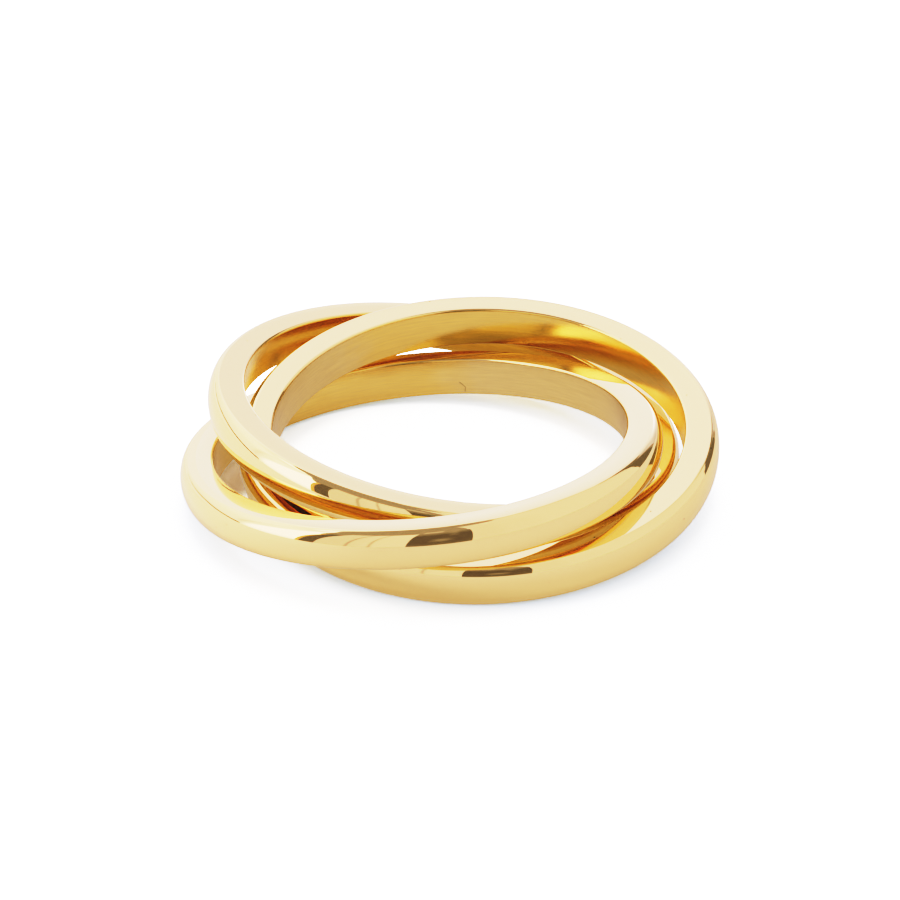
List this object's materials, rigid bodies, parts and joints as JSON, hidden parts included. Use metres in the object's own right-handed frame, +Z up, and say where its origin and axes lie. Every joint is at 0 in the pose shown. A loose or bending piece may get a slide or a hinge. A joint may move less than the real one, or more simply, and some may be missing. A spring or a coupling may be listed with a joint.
{
  "type": "fidget ring",
  "caption": "Finger ring of slim domed bands that pass through one another, so that they roll and spin on the finger. It lies on a table in one leaning pile.",
  "frame": {"origin": "middle of the whole ring's box, at the table that it lies on", "axes": "+Z up from the table, +X to the right and +Y away from the viewer, as in the picture"},
  "size_m": [0.0236, 0.0236, 0.0049],
  "materials": {
    "polished_gold": "pale yellow gold plate on brass, mirror polished outside and on the sides, satin inside"
  },
  "bodies": {
    "back_band": {"back_band": "polished_gold"},
    "front_band": {"front_band": "polished_gold"},
    "left_band": {"left_band": "polished_gold"}
  },
  "joints": [
    {"name": "front_band_spin", "type": "hinge", "parent": "back_band", "child": "front_band", "pos_m": [-0.00126, -0.00137, 0.00225], "axis": [-0.0846, 0.1083, 0.9905], "continuous": true},
    {"name": "left_band_spin", "type": "hinge", "parent": "back_band", "child": "left_band", "pos_m": [-0.00026, 0.00133, 0.00244], "axis": [0.1549, 0.0218, 0.9877], "continuous": true}
  ]
}
